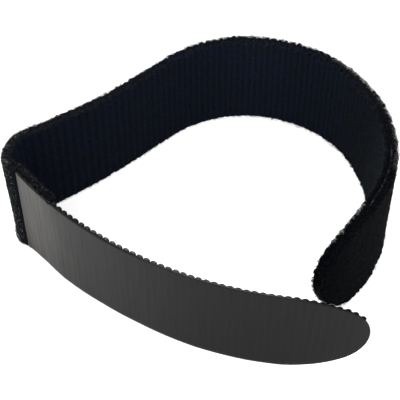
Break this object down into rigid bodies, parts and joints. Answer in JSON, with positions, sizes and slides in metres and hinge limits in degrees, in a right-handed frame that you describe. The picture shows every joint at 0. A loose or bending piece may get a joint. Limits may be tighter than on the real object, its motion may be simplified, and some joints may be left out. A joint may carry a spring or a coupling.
{
  "type": "wrist strap band",
  "caption": "Hook-and-loop wrist strap band: a loop-pile band standing on edge in an open loop, with a smooth moulded hook tab welded at a tight fold.",
  "frame": {"origin": "middle of the footprint, on the plane that the strap's lower edge stands on", "axes": "+Z across the band's width, upwards as the strap stands; +X along the loop's longest side in plan, towards the free end's bend; the smooth hook tab faces -Y"},
  "size_m": [0.0888, 0.079, 0.025],
  "materials": {
    "loop_pile": "matt looped pile",
    "ground_weave": "matt weave",
    "tab_plastic": "semi-gloss film with moulded hooks"
  },
  "bodies": {
    "band": {"inner_pile_loop": "loop_pile", "core_loop": "ground_weave", "outer_pile_loop": "loop_pile", "inner_pile_fold": "loop_pile", "core_fold": "ground_weave", "outer_pile_fold": "loop_pile", "inner_pile_bend": "loop_pile", "core_bend": "ground_weave", "outer_pile_bend": "loop_pile"},
    "hook_tab": {"hook_tab": "tab_plastic", "inner_pile_welded_end": "loop_pile", "core_welded_end": "ground_weave", "outer_pile_welded_end": "loop_pile"},
    "free_end": {"inner_pile_free_end": "loop_pile", "core_free_end": "ground_weave", "outer_pile_free_end": "loop_pile"}
  },
  "joints": [
    {"name": "tab_swing", "type": "hinge", "parent": "band", "child": "hook_tab", "pos_m": [-0.04225, 0.00445, 0.0125], "axis": [0, 0, 1], "range_deg": [-95, 6], "stiffness_Nm_per_rad": 0.003, "deforming": ["inner_pile_fold", "core_fold", "outer_pile_fold"]},
    {"name": "free_end_flex", "type": "hinge", "parent": "band", "child": "free_end", "pos_m": [0.0429, 0.00292, 0.0125], "axis": [0, 0, 1], "range_deg": [-25, 3], "stiffness_Nm_per_rad": 0.003, "deforming": ["inner_pile_bend", "core_bend", "outer_pile_bend"]}
  ]
}
